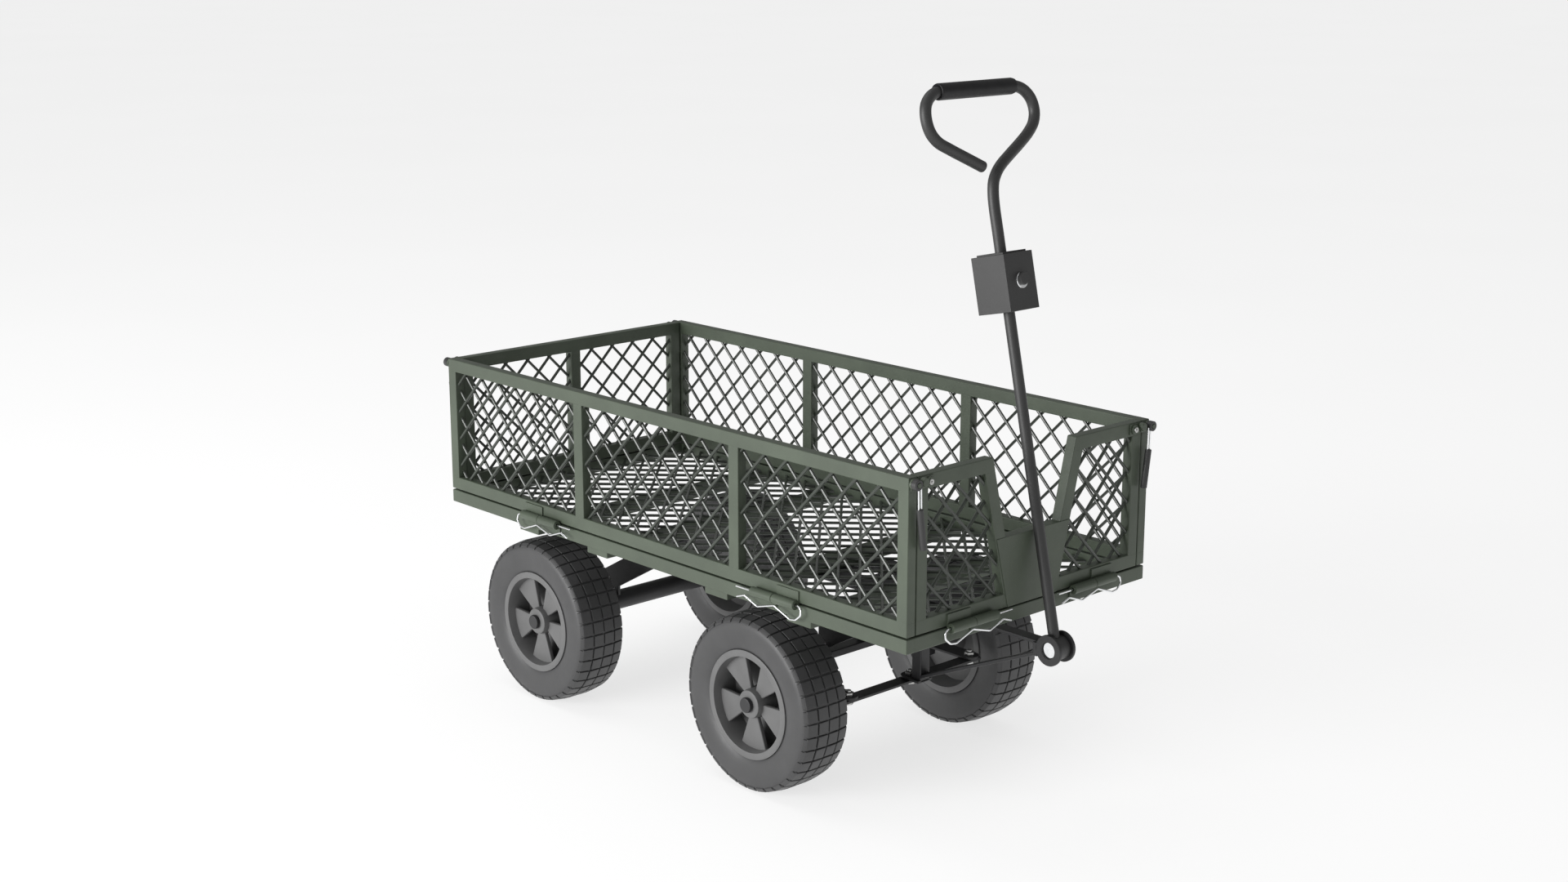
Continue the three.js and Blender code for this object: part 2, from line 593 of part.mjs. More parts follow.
function hitchBox() {
  const { halfX, back, front, low, high, pin } = HITCH;
  const lip = 7;
  const box = block([-halfX, halfX], [-front, -back], [low, high]);
  const sleeve = block([lip - halfX, halfX - lip], [lip - front, -back - lip], [high - EMBED, high + 3]);
  const shaftHole = bar([0, 0, low - 1], [0, 0, high + 4], SHAFT + GAP, 16);
  const pinHole = bar([0, -front - 1, pin], [0, 22, pin], 5.4, 12);
  return join(box, sleeve).subtract(shaftHole).subtract(pinHole);
}

const LOOP = [
  // sideways, along the shaft
  [0, HITCH.split + 1], [0, 680], [0, 755], [2, 775], [7, 793], [18, 808], [31, 819], [57, 835], [86, 852],
  [110, 868], [126, 884], [132, 902], [128, 922], [114, 938], [94, 946.5], [60, 947.5], [0, 947.5],
  [-60, 947.5], [-96, 947.5], [-114, 942], [-128, 929], [-133, 908], [-128, 884], [-114, 867], [-88, 853],
  [-50, 835], [-14, 818],
];

function upperHandle() {
  const tube = sweep(LOOP.map(([x, s]) => [x, 0, s]), SHAFT, 8, 44);
  return tube.subtract(bar([0, -30, HITCH.pin], [0, 22, HITCH.pin], 5.4, 12));
}

function hitchPin() {
  const face = -HITCH.front - GAP;
  const at = (y) => [0, y, HITCH.pin];
  return join(
    bar(at(19), at(face - 4), 5, 12),
    bar(at(face), at(face - 2), 13, 16),
    bar(at(face - 1.5), at(face - 8), 11.5, 16),
  );
}

function handleGrip() {
  const at = (x) => [x, 0, GRIP.s];
  const outer = bar(at(GRIP.from), at(GRIP.to), GRIP.radius, 16);
  return outer.subtract(bar(at(GRIP.from - 1), at(GRIP.to + 1), GRIP.bore, 16));
}

place('pivot_tube', pivotTube(), COLORS.black(), handle);
place('handle_lower', lowerShaft(), COLORS.black(), handle);
place('hitch_box', hitchBox(), COLORS.black(), handle);
place('handle_upper', upperHandle(), COLORS.black(), handle);
place('hitch_pin', hitchPin(), COLORS.chrome(), handle);
place('handle_grip', handleGrip(), COLORS.grip(), handle);

export default cart;
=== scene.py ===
"""Looks of a steel mesh garden cart: fold-down sides, steered front axle and a D-handle.

Lengths inside the builders are millimetres measured from the middle of the deck rim's top, as a
welder would lay the cart out, and every piece is moved into the frame's metres when it is finished.
x is across the cart, -y is the handle end and z is up.
"""
import math

import bmesh
import bpy
from mathutils import Matrix, Vector


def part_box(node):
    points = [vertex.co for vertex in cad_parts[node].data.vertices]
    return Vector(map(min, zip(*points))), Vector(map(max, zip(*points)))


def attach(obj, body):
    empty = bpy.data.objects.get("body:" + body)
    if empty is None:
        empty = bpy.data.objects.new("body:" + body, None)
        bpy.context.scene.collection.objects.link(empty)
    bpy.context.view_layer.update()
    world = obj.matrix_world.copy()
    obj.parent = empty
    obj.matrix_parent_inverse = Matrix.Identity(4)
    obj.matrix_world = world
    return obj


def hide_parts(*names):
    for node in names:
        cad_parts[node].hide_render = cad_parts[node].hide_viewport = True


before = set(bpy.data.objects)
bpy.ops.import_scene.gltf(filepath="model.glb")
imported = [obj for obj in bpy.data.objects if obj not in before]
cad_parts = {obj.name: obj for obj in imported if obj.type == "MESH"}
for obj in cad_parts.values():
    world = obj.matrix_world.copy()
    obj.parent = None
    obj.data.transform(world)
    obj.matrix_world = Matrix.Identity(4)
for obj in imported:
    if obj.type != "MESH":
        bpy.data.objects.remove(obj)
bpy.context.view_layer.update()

MM = 0.001
DECK_LOW, DECK_HIGH = (Vector(corner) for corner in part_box("deck_frame"))
PANEL_HIGH = Vector(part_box("side_panel_right")[1])
MIDDLE_Y = (DECK_LOW.y + DECK_HIGH.y) / 2
TO_ROW = Matrix.Translation((0, MIDDLE_Y, DECK_HIGH.z)) @ Matrix.Scale(MM, 4)

# ------------------------------------------------------------------ sizes, millimetres

# deck: tube rim and flat cross members
HALF_X = DECK_HIGH.x / MM
HALF_Y = (DECK_HIGH.y - DECK_LOW.y) / 2 / MM
RIM_DEPTH = 25.3
TUBE = 20.0
TUBE_EDGE = 1.8
CROSS_PLACES = (-384, -170, 170, 384)
CROSS_HALF = 303
CROSS_WIDTH = 60
CROSS_DEPTH = 12
UNDER_CROSS = -RIM_DEPTH - CROSS_DEPTH

# panels: the face of a tube is FACE wide on the uprights and RAIL deep on the rails
FACE = 24.0
RAIL = 25.0
PANEL_BASE = 3.0
PANEL_TOP = (PANEL_HIGH.z - DECK_HIGH.z) / MM
INNER_LOW = PANEL_BASE + RAIL
INNER_HIGH = PANEL_TOP - RAIL
END_HALF = 283.0
SIDE_DIVIDERS = (-219.5, 219.5)
SIDE_DIVIDER_WIDTH = 26
END_DIVIDER_WIDTH = 24
OVERLAP = 2            # how far an upright runs into the rails

# crossed rods
ROD = 2.95
PITCH = 55.25
LAYER = 2.6            # from the middle of the tube to each layer
INTO_TUBE = 5          # how far each rod runs into the frame around it

# hinges and the spring pins in them
HINGE_OUT = 9.2
HINGE_Z = 1.0
BARREL = 8.5
BORE = 3.0
KNUCKLE_GAP = 0.4
WIRE = 1.8
WIRE_BEND = 7
WIRE_ARM = 4           # how far the sprung arm stands out from the pin

# corner latches
LATCH_X, LATCH_Z = 297, 260
LATCH_OUT = 11.5       # middle of the lever, out from the panel

# wheels and axles
AXLE_Z = -222.3
WHEEL_X = 248.8
WHEEL_RADIUS = 162.2
TREAD_BLOCKS = 39
TREAD_GROOVE = 3.6
TREAD_HEIGHT = 5.6
SPOKES = 5
NUT_FROM, NUT_TO = WHEEL_X + 44.5, WHEEL_X + 52.5
REAR_Y = 383.6
KING_X = 158
KING_Y = -243
ARM = 115
ARM_TIP = KING_Y - ARM
BEAM_TOP = -163
BEAM_HALF_WIDTH = 20
STRUT_X = 100
STRUT_DEPTH = 53
STRUT_PLATE = 6

# handle: LEAN is how far the parked shaft leans back from upright
SPOOL_Y = -696.5
SPOOL_Z = -70.6
LEAN = math.radians(12.4)
SHAFT = 9.75
SPLIT = 598            # where the two shafts meet, inside the box
PIN_AT = 627
LOOP_TOP = 947.5

# surroundings
PAPER_GLOW = 0.70
SKY = 0.35

X, Y, Z = Vector((1, 0, 0)), Vector((0, 1, 0)), Vector((0, 0, 1))

# ------------------------------------------------------------------ camera


def add_camera():
    """A 50 mm lens on the handle end's right, a little above the handle."""
    data = bpy.data.cameras.new("camera")
    data.lens = 50
    data.sensor_width = 36
    data.clip_end = 50
    camera = bpy.data.objects.new("camera", data)
    camera.location = (-2.7088, -2.9486 + MIDDLE_Y, 1.1512 + DECK_HIGH.z)
    camera.rotation_euler = (math.radians(76.157), 0, math.radians(-42.765))
    bpy.context.scene.collection.objects.link(camera)
    bpy.context.scene.camera = camera


add_camera()

# ------------------------------------------------------------------ materials


class Surface:
    """A node material with helpers for noise, colour ramps and bumps on object coordinates."""

    def __init__(self, name, roughness, metallic=0.0):
        self.material = bpy.data.materials.new(name)
        self.material.use_nodes = True
        self.tree = self.material.node_tree
        self.shader = self.tree.nodes["Principled BSDF"]
        self.shader.inputs["Roughness"].default_value = roughness
        self.shader.inputs["Metallic"].default_value = metallic
        self.coords = self.node("ShaderNodeTexCoord")
        self.height = None

    def node(self, kind, **settings):
        made = self.tree.nodes.new(kind)
        for key, value in settings.items():
            setattr(made, key, value)
        return made

    def link(self, a, b):
        self.tree.links.new(a, b)

    def noise(self, scale, detail=3.0, rough=0.55, stretch=(1, 1, 1)):
        mapping = self.node("ShaderNodeMapping")
        mapping.inputs["Scale"].default_value = stretch
        self.link(self.coords.outputs["Object"], mapping.inputs["Vector"])
        noise = self.node("ShaderNodeTexNoise")
        noise.inputs["Scale"].default_value = scale
        noise.inputs["Detail"].default_value = detail
        noise.inputs["Roughness"].default_value = rough
        self.link(mapping.outputs["Vector"], noise.inputs["Vector"])
        return noise.outputs["Fac"]

    def ramp(self, factor, stops):
        ramp = self.node("ShaderNodeValToRGB")
        elements = ramp.color_ramp.elements
        while len(elements) < len(stops):
            elements.new(0.5)
        for element, (place, colour) in zip(elements, stops):
            element.position = place
            element.color = (*colour, 1)
        self.link(factor, ramp.inputs["Fac"])
        return ramp.outputs["Color"]

    def mix(self, factor, a, b):
        mix = self.node("ShaderNodeMix", data_type="RGBA")
        self.link(factor, mix.inputs[0])
        for value, socket in ((a, mix.inputs[6]), (b, mix.inputs[7])):
            if isinstance(value, tuple):
                socket.default_value = (*value, 1)
            else:
                self.link(value, socket)
        return mix.outputs[2]

    def colour(self, output):
        self.link(output, self.shader.inputs["Base Color"])

    def roughness(self, factor, low, high):
        spread = self.node("ShaderNodeMapRange")
        spread.inputs["To Min"].default_value = low
        spread.inputs["To Max"].default_value = high
        self.link(factor, spread.inputs["Value"])
        self.link(spread.outputs["Result"], self.shader.inputs["Roughness"])

    def bump(self, factor, depth, strength=1.0):
        bump = self.node("ShaderNodeBump")
        bump.inputs["Strength"].default_value = strength
        bump.inputs["Distance"].default_value = depth
        self.link(factor, bump.inputs["Height"])
        if self.height is not None:
            self.link(self.height, bump.inputs["Normal"])
        self.height = bump.outputs["Normal"]
        self.link(self.height, self.shader.inputs["Normal"])


def greys(low, high):
    """Ramp stops from one neutral grey to another."""
    return [(0.3, (low, low, low)), (0.7, (high, high, high))]


def powder_coat(name, tint, roughness, speckle):
    """Satin powder coat: orange peel, a faint cloudy tone and scattered dull specks."""
    coat = Surface(name, roughness)
    tone = coat.noise(9, 4)
    dark = tuple(0.84 * c for c in tint)
    light = tuple(min(1, 1.14 * c) for c in tint)
    base = coat.ramp(tone, [(0.3, dark), (0.7, light)])
    grain = coat.noise(speckle, 2, 0.7)
    flecks = coat.ramp(grain, [(0.6, (0, 0, 0)), (0.72, (0.35, 0.35, 0.35))])
    coat.colour(coat.mix(flecks, base, tuple(min(1, 1.6 * c + 0.01) for c in tint)))
    coat.roughness(coat.noise(40, 3), roughness - 0.08, roughness + 0.1)
    coat.bump(coat.noise(900, 2), 0.00012, 0.55)
    return coat.material


def bright_wire():
    """Chromed spring steel with faint drawing lines and handling marks."""
    wire = Surface("chrome", 0.16, 1.0)
    marks = wire.noise(160, 3)
    wire.colour(wire.ramp(marks, [(0.3, (0.80, 0.81, 0.82)), (0.7, (0.93, 0.94, 0.95))]))
    wire.roughness(wire.noise(300, 2), 0.10, 0.26)
    wire.bump(wire.noise(1500, 2), 0.00004, 0.4)
    return wire.material


def dull_zinc():
    """Zinc-plated screw heads, greyer than the sprung wire."""
    zinc = Surface("zinc_plate", 0.34, 1.0)
    marks = zinc.noise(300, 3)
    zinc.colour(zinc.ramp(marks, [(0.3, (0.40, 0.40, 0.39)), (0.7, (0.56, 0.56, 0.55))]))
    zinc.roughness(zinc.noise(500, 2), 0.26, 0.42)
    zinc.bump(zinc.noise(1500, 2), 0.00004, 0.4)
    return zinc.material


def tyre_rubber():
    """Dusty grey rubber with a cloudy tone."""
    rubber = Surface("tyre_rubber", 0.62)
    tone = rubber.noise(14, 5, 0.6)
    rubber.colour(rubber.ramp(tone, [(0.3, (0.042, 0.042, 0.043)), (0.72, (0.054, 0.054, 0.055))]))
    rubber.roughness(rubber.noise(60, 3), 0.36, 0.54)
    rubber.bump(rubber.noise(700, 3), 0.00015, 0.6)
    rubber.bump(rubber.noise(45, 3), 0.0004, 0.35)
    return rubber.material


def rim_paint():
    """Grey moulded rim with a fine pebble grain."""
    rim = Surface("rim_paint", 0.55)
    tone = rim.noise(20, 3)
    rim.colour(rim.ramp(tone, greys(0.110, 0.132)))
    rim.roughness(rim.noise(80, 2), 0.45, 0.62)
    rim.bump(rim.noise(800, 2), 0.00012, 0.5)
    return rim.material


def soft_grip():
    """Dark rubber sleeve with a fine grain and slightly polished patches."""
    grip = Surface("grip_rubber", 0.5)
    tone = grip.noise(50, 3)
    grip.colour(grip.ramp(tone, [(0.3, (0.008, 0.008, 0.009)), (0.7, (0.014, 0.014, 0.015))]))
    grip.roughness(grip.noise(60, 3), 0.38, 0.55)
    grip.shader.inputs["Specular IOR Level"].default_value = 0.3
    grip.bump(grip.noise(1100, 2), 0.0002, 0.6)
    return grip.material


GREEN = powder_coat("green_powder_coat", (0.063, 0.080, 0.055), 0.46, 420)
ROD_GREEN = powder_coat("rod_coat", (0.046, 0.053, 0.044), 0.24, 500)
BLACK = powder_coat("black_powder_coat", (0.016, 0.016, 0.017), 0.44, 380)
CHARCOAL = powder_coat("charcoal_powder_coat", (0.033, 0.033, 0.033), 0.44, 380)
CHROME = bright_wire()
ZINC = dull_zinc()
TYRE = tyre_rubber()
RIM = rim_paint()
GRIP = soft_grip()

# ------------------------------------------------------------------ shapes


def round_edges(bm, edges, size, segments=3):
    bmesh.ops.bevel(bm, geom=list(edges), offset=size, offset_type="OFFSET", affect="EDGES",
                    segments=segments, profile=0.5, material=-1, clamp_overlap=True)


def edges_of(verts):
    return {edge for vert in verts for edge in vert.link_edges}


def new_verts(made):
    """The vertices that an extrusion made."""
    return [g for g in made["geom"] if isinstance(g, bmesh.types.BMVert)]


def thicken(bm, faces, push):
    """Gives flat faces a thickness, as a solid between them and a copy moved by push."""
    made = bmesh.ops.extrude_face_region(bm, geom=faces, use_keep_orig=True)
    top = new_verts(made)
    bmesh.ops.translate(bm, verts=top, vec=push)
    return top


def join_part(bm, part, matrix):
    """Moves a part that was built on its own into place and adds it to the piece."""
    bmesh.ops.transform(part, matrix=matrix, verts=part.verts)
    mesh = bpy.data.meshes.new("part")
    part.to_mesh(mesh)
    part.free()
    bm.from_mesh(mesh)
    bpy.data.meshes.remove(mesh)


def block(bm, low, high, edge=0.0, segments=3):
    """A rectangular block between two corners, with rounded edges."""
    size = [abs(b - a) for a, b in zip(low, high)]
    middle = [(a + b) / 2 for a, b in zip(low, high)]
    made = bmesh.ops.create_cube(bm, size=1, matrix=Matrix.LocRotScale(middle, None, size))
    if edge:
        round_edges(bm, edges_of(made["verts"]), edge, segments)


def upright_matrix(start, direction):
    turn = Vector(direction).to_track_quat("Z", "Y")
    return Matrix.Translation(start) @ turn.to_matrix().to_4x4()


def bar(bm, start, end, radius, sides=20, edge=0.0):
    """A round bar from one point to another, its end edges rounded if asked."""
    start, end = Vector(start), Vector(end)
    made = bmesh.ops.create_cone(
        bm, cap_ends=True, segments=sides, radius1=radius, radius2=radius, depth=(end - start).length,
        matrix=upright_matrix((start + end) / 2, end - start))
    if edge:
        ends = {e for e in edges_of(made["verts"]) if max(len(f.verts) for f in e.link_faces) > 4}
        round_edges(bm, ends, edge, 2)


def slab(bm, outline, normal, thickness, edge=0.0, segments=2):
    """A flat outline of 3-D points pushed along a direction, with rounded edges."""
    verts = [bm.verts.new(p) for p in outline]
    top = thicken(bm, [bm.faces.new(verts)], Vector(normal) * thickness)
    if edge:
        round_edges(bm, edges_of(verts + top), edge, segments)


def path_frames(points):
    """Positions and turning-free frames along a list of points."""
    frames = []
    up = None
    for i, point in enumerate(points):
        ahead = points[min(i + 1, len(points) - 1)]
        behind = points[max(i - 1, 0)]
        along = (ahead - behind).normalized()
        if up is None:
            up = along.orthogonal().normalized()
        up = (up - along * up.dot(along)).normalized()
        side = along.cross(up)
        frames.append(Matrix.Translation(point) @ Matrix((side, up, along)).transposed().to_4x4())
    return frames


def sweep(bm, points, radius, sides=16, caps=0.0):
    """A round tube along the points; caps rounds its two ends over that length."""
    frames = path_frames([Vector(p) for p in points])
    start = bmesh.ops.create_circle(bm, cap_ends=True, segments=sides, radius=radius, matrix=frames[0])
    ends = [start["verts"][0].link_faces[0]]
    edges = list(ends[0].edges)
    for before, after in zip(frames, frames[1:]):
        made = bmesh.ops.extrude_edge_only(bm, edges=edges)
        verts = new_verts(made)
        edges = [g for g in made["geom"] if isinstance(g, bmesh.types.BMEdge)
                 and g.verts[0] in verts and g.verts[1] in verts]
        bmesh.ops.transform(bm, matrix=after @ before.inverted(), verts=verts)
    ends += bmesh.ops.contextual_create(bm, geom=edges)["faces"]
    if caps:
        round_edges(bm, {e for face in ends for e in face.edges}, caps, 2)


def smooth_path(points, step):
    """A centripetal curve through the points, sampled about every step millimetres."""
    points = [Vector(p) for p in points]
    ghosts = [2 * points[0] - points[1], *points, 2 * points[-1] - points[-2]]
    made = []
    for a, b, c, d in zip(ghosts, ghosts[1:], ghosts[2:], ghosts[3:]):
        t1 = max((b - a).length, 1e-6) ** 0.5
        t2 = t1 + max((c - b).length, 1e-6) ** 0.5
        t3 = t2 + max((d - c).length, 1e-6) ** 0.5
        count = max(1, round((c - b).length / step))
        for i in range(count):
            t = t1 + (t2 - t1) * i / count
            a1 = a * ((t1 - t) / t1) + b * (t / t1)
            a2 = b * ((t2 - t) / (t2 - t1)) + c * ((t - t1) / (t2 - t1))
            a3 = c * ((t3 - t) / (t3 - t2)) + d * ((t - t2) / (t3 - t2))
            b1 = a1 * ((t2 - t) / t2) + a2 * (t / t2)
            b2 = a2 * ((t3 - t) / (t3 - t1)) + a3 * ((t - t1) / (t3 - t1))
            made.append(b1 * ((t2 - t) / (t2 - t1)) + b2 * ((t - t1) / (t2 - t1)))
    return [*made, points[-1]]


def bent_path(points, radius=WIRE_BEND, steps=4):
    """Straight runs joined by small bends, as wire is kinked in a former."""
    points = [Vector(p) for p in points]
    made = [points[0]]
    for before, corner, after in zip(points, points[1:], points[2:]):
        back, ahead = before - corner, after - corner
        turn = math.pi - back.angle(ahead)
        reach = min(radius * math.tan(turn / 2), 0.45 * back.length, 0.45 * ahead.length)
        start = corner + back.normalized() * reach
        end = corner + ahead.normalized() * reach
        for i in range(steps + 1):
            t = i / steps
            made.append(start * (1 - t) ** 2 + corner * (2 * t * (1 - t)) + end * t ** 2)
    return [*made, points[-1]]


def turned(bm, profile, steps, centre=(0, 0, 0), closed=True):
    """Spins a profile of (offset along x, radius) about the x axis into a ring."""
    verts = [bm.verts.new(Vector(centre) + Vector((a, 0, r))) for a, r in profile]
    pairs = list(zip(verts, verts[1:]))
    if closed:
        pairs.append((verts[-1], verts[0]))
    edges = [bm.edges.new(pair) for pair in pairs]
    bmesh.ops.spin(bm, geom=verts + edges, cent=centre, axis=X, angle=2 * math.pi, steps=steps,
                   use_merge=True, use_duplicate=False)


def finish_piece(name, bm, body, material, nodes, sharp=40, matrix=None):
    """Turns a bmesh into a piece of the cart that rides on a body and stands for CAD nodes."""
    if matrix is not None:
        bmesh.ops.transform(bm, matrix=matrix, verts=bm.verts)
    bmesh.ops.recalc_face_normals(bm, faces=bm.faces)
    bmesh.ops.transform(bm, matrix=TO_ROW, verts=bm.verts)
    mesh = bpy.data.meshes.new(name)
    bm.to_mesh(mesh)
    bm.free()
    mesh.polygons.foreach_set("use_smooth", [True] * len(mesh.polygons))
    mesh.set_sharp_from_angle(angle=math.radians(sharp))
    mesh.materials.append(material)
    piece = bpy.data.objects.new(name, mesh)
    bpy.context.scene.collection.objects.link(piece)
    even = piece.modifiers.new("even_shading", "WEIGHTED_NORMAL")
    even.keep_sharp = True
    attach(piece, body)
    if nodes:
        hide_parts(*nodes)
    return piece


# ------------------------------------------------------------------ edges of the cart

class Edge:
    """One edge of the cart: where its face is, where its hinges sit and which body its panel is."""

    def __init__(self, name, sign, side, hinge_inner, hinge_middle, hinge_outer, ends, body):
        self.name = name
        self.sign = sign
        self.side = side
        self.face = HALF_X if side else HALF_Y
        self.hinge = (hinge_inner, hinge_middle, hinge_outer)
        self.ends = ends
        self.body = body

    def point(self, along, out, height):
        """Along the edge, outwards from its face, and up."""
        across = self.sign * (self.face + out)
        return Vector((across, along, height)) if self.side else Vector((along, across, height))

    def outward(self):
        return X * self.sign if self.side else Y * self.sign

    def block(self, bm, along, out, height, edge=0.0, segments=3):
        low = self.point(along[0], out[0], height[0])
        high = self.point(along[1], out[1], height[1])
        block(bm, low, high, edge, segments)


EDGES = [
    Edge("right", -1, True, 278, 333, 388, ("front", "rear"), "panel_right"),
    Edge("left", 1, True, 278, 333, 388, ("front", "rear"), "panel_left"),
    Edge("front", -1, False, 98, 155, 211, ("right", "left"), "deck"),
    Edge("rear", 1, False, 98, 155, 211, ("right", "left"), "panel_rear"),
]
RIGHT, LEFT, FRONT, REAR = EDGES

# ------------------------------------------------------------------ deck


def deck():
    """Tube rim, its end tubes running just into the side ones, and the flat members under it."""
    bm = bmesh.new()
    end_x = HALF_X - TUBE + OVERLAP
    for sign in (-1, 1):
        block(bm, (sign * (HALF_X - TUBE), -HALF_Y, -RIM_DEPTH), (sign * HALF_X, HALF_Y, 0), TUBE_EDGE)
        block(bm, (-end_x, sign * (HALF_Y - TUBE), -RIM_DEPTH), (end_x, sign * HALF_Y, 0), TUBE_EDGE)
    half = CROSS_WIDTH / 2
    for y in CROSS_PLACES:
        block(bm, (-CROSS_HALF, y - half, UNDER_CROSS), (CROSS_HALF, y + half, 0.5 - RIM_DEPTH), 1.5)
    finish_piece("deck_rim", bm, "deck", GREEN, ["deck_frame"])


def clip_line(start, direction, outline):
    """The part of a line inside a convex outline (anticlockwise), as two distances, or None."""
    low, high = -1e6, 1e6
    for a, b in zip(outline, outline[1:] + outline[:1]):
        inward = Vector((-(b[1] - a[1]), b[0] - a[0]))
        toward = direction.dot(inward)
        gap = (start - Vector(a)).dot(inward)
        if abs(toward) < 1e-9:
            if gap < 0:
                return None
        elif toward > 0:
            low = max(low, -gap / toward)
        else:
            high = min(high, -gap / toward)
    return (low, high) if high - low > 6 else None


def lattice(bm, outline, slopes, to_space, sides=8):
    """Two layers of 45-degree rods inside a convex outline of (u, v).

    slopes holds (sign, offset, depth) for each layer: v = sign * u + offset, every PITCH."""
    us = [p[0] for p in outline]
    vs = [p[1] for p in outline]
    for sign, offset, depth in slopes:
        direction = Vector((1, sign)).normalized()
        corners = [v - sign * u for u in (min(us), max(us)) for v in (min(vs), max(vs))]
        first = math.ceil((min(corners) - offset) / PITCH)
        last = math.floor((max(corners) - offset) / PITCH)
        for k in range(first, last + 1):
            start = Vector((0, offset + k * PITCH))
            span = clip_line(start, direction, outline)
            if span:
                ends = [start + direction * t for t in span]
                bar(bm, to_space(*ends[0], depth), to_space(*ends[1], depth), ROD, sides)


def rectangle(u0, u1, v0, v1):
    return [(u0, v0), (u1, v0), (u1, v1), (u0, v1)]


def floor():
    """Crossed rods a little below the top of the rim, welded into its tubes."""
    bm = bmesh.new()
    u = HALF_X - TUBE + INTO_TUBE
    v = HALF_Y - TUBE + INTO_TUBE
    layers = [(1, -5.3, -9.5), (-1, 39.6, -14.7)]
    lattice(bm, rectangle(-u, u, -v, v), layers, lambda a, b, z: (a, b, z))
    finish_piece("floor_rods", bm, "deck", ROD_GREEN, ["floor_mesh"])


# ------------------------------------------------------------------ hinges and hairpins


def knuckle(bm, edge, along, leaf_height, embed):
    """Barrel with an open bore and the leaf that carries it."""
    edge.block(bm, along, (embed, 3), leaf_height, 0.8, 2)
    length = abs(along[1] - along[0])
    corner = 0.8
    wall = [(0, BARREL - corner), (corner, BARREL), (length - corner, BARREL),
            (length, BARREL - corner), (length, BORE), (0, BORE)]
    part = bmesh.new()
    turned(part, wall, 28)
    turn = Matrix.Rotation(math.pi / 2 if edge.side else 0, 4, "Z")
    start = edge.point(min(along), HINGE_OUT, HINGE_Z)
    join_part(bm, part, Matrix.Translation(start) @ turn)


def lower_hinges():
    for edge in EDGES:
        inner, middle, _ = edge.hinge
        for end, sign in zip(edge.ends, (-1, 1)):
            bm = bmesh.new()
            knuckle(bm, edge, (sign * inner, sign * (middle - KNUCKLE_GAP)), (-22, HINGE_Z), 0.3)
            finish_piece(f"lower_hinge_{edge.name}_{end}", bm, "deck", GREEN,
                         [f"hinge_{edge.name}_{end}"])


HAIRPIN = [
    # distance from the loop towards the tip, share of the arm's offset, height
    (163, 0, 0), (6, 0, 0), (-2, 0.2, -3), (-3, 0.6, -14), (8, 1, -24),
    (22, 1, -26), (62, 1, -11), (104, 1, -23), (138, 1, -10.5), (157, 1, -17),
]


def hairpins():
    """Spring wire pins: a straight leg in the barrel and a kinked arm below it."""
    for edge in EDGES:
        loop = edge.hinge[2] + 12
        for end, sign in zip(edge.ends, (-1, 1)):
            bm = bmesh.new()
            route = [edge.point(sign * (loop - u), HINGE_OUT + WIRE_ARM * share, HINGE_Z + dz)
                     for u, share, dz in HAIRPIN]
            sweep(bm, bent_path(route), WIRE, 12, 0.5)
            name = f"hairpin_{edge.name}_{end}"
            finish_piece(f"spring_pin_{edge.name}_{end}", bm, name, CHROME, [name])


# ------------------------------------------------------------------ panels


def upper_hinges(bm, edge):
    _, middle, outer = edge.hinge
    for sign in (-1, 1):
        knuckle(bm, edge, (sign * (middle + KNUCKLE_GAP), sign * outer), (HINGE_Z, 24), -0.6)


def upright(bm, edge, side_a, side_b):
    """A tube between the rails, from one place along the edge to another."""
    height = (INNER_LOW - OVERLAP, INNER_HIGH + OVERLAP)
    edge.block(bm, (side_a, side_b), (-TUBE, 0), height, TUBE_EDGE)


def rail(bm, edge, half, low, high):
    edge.block(bm, (-half, half), (-TUBE, 0), (low, high), TUBE_EDGE)


def panel_layers(falling, rising):
    """The two layers of rods in a panel, each with its own offset."""
    return [(-1, falling, LAYER - TUBE / 2), (1, rising, -LAYER - TUBE / 2)]


def straight_panel(edge, half, dividers, divider_width, layers, names, nodes):
    """A side or rear panel: two rails, end uprights, dividers and crossed rods."""
    bm = bmesh.new()
    rail(bm, edge, half, INNER_HIGH, PANEL_TOP)
    rail(bm, edge, half, PANEL_BASE, INNER_LOW)
    for sign in (-1, 1):
        upright(bm, edge, sign * half, sign * (half - FACE))
    for along in dividers:
        upright(bm, edge, along - divider_width / 2, along + divider_width / 2)
    upper_hinges(bm, edge)
    finish_piece(names[0], bm, edge.body, GREEN, [nodes[0]])

    bm = bmesh.new()
    u = half - FACE + INTO_TUBE
    outline = rectangle(-u, u, INNER_LOW - INTO_TUBE, INNER_HIGH + INTO_TUBE)
    lattice(bm, outline, layers, lambda a, b, d: edge.point(a, d, b))
    finish_piece(names[1], bm, edge.body, ROD_GREEN, [nodes[1]])


def side_panels():
    for edge in (RIGHT, LEFT):
        straight_panel(edge, HALF_Y, SIDE_DIVIDERS, SIDE_DIVIDER_WIDTH, panel_layers(6.2, 29.8),
                       (f"side_frame_{edge.name}", f"side_rods_{edge.name}"),
                       (f"side_panel_{edge.name}", f"side_mesh_{edge.name}"))


def rear_panel():
    straight_panel(REAR, END_HALF, (0,), END_DIVIDER_WIDTH, panel_layers(70, 84.7),
                   ("rear_frame", "rear_rods"), ("rear_panel", "rear_mesh"))


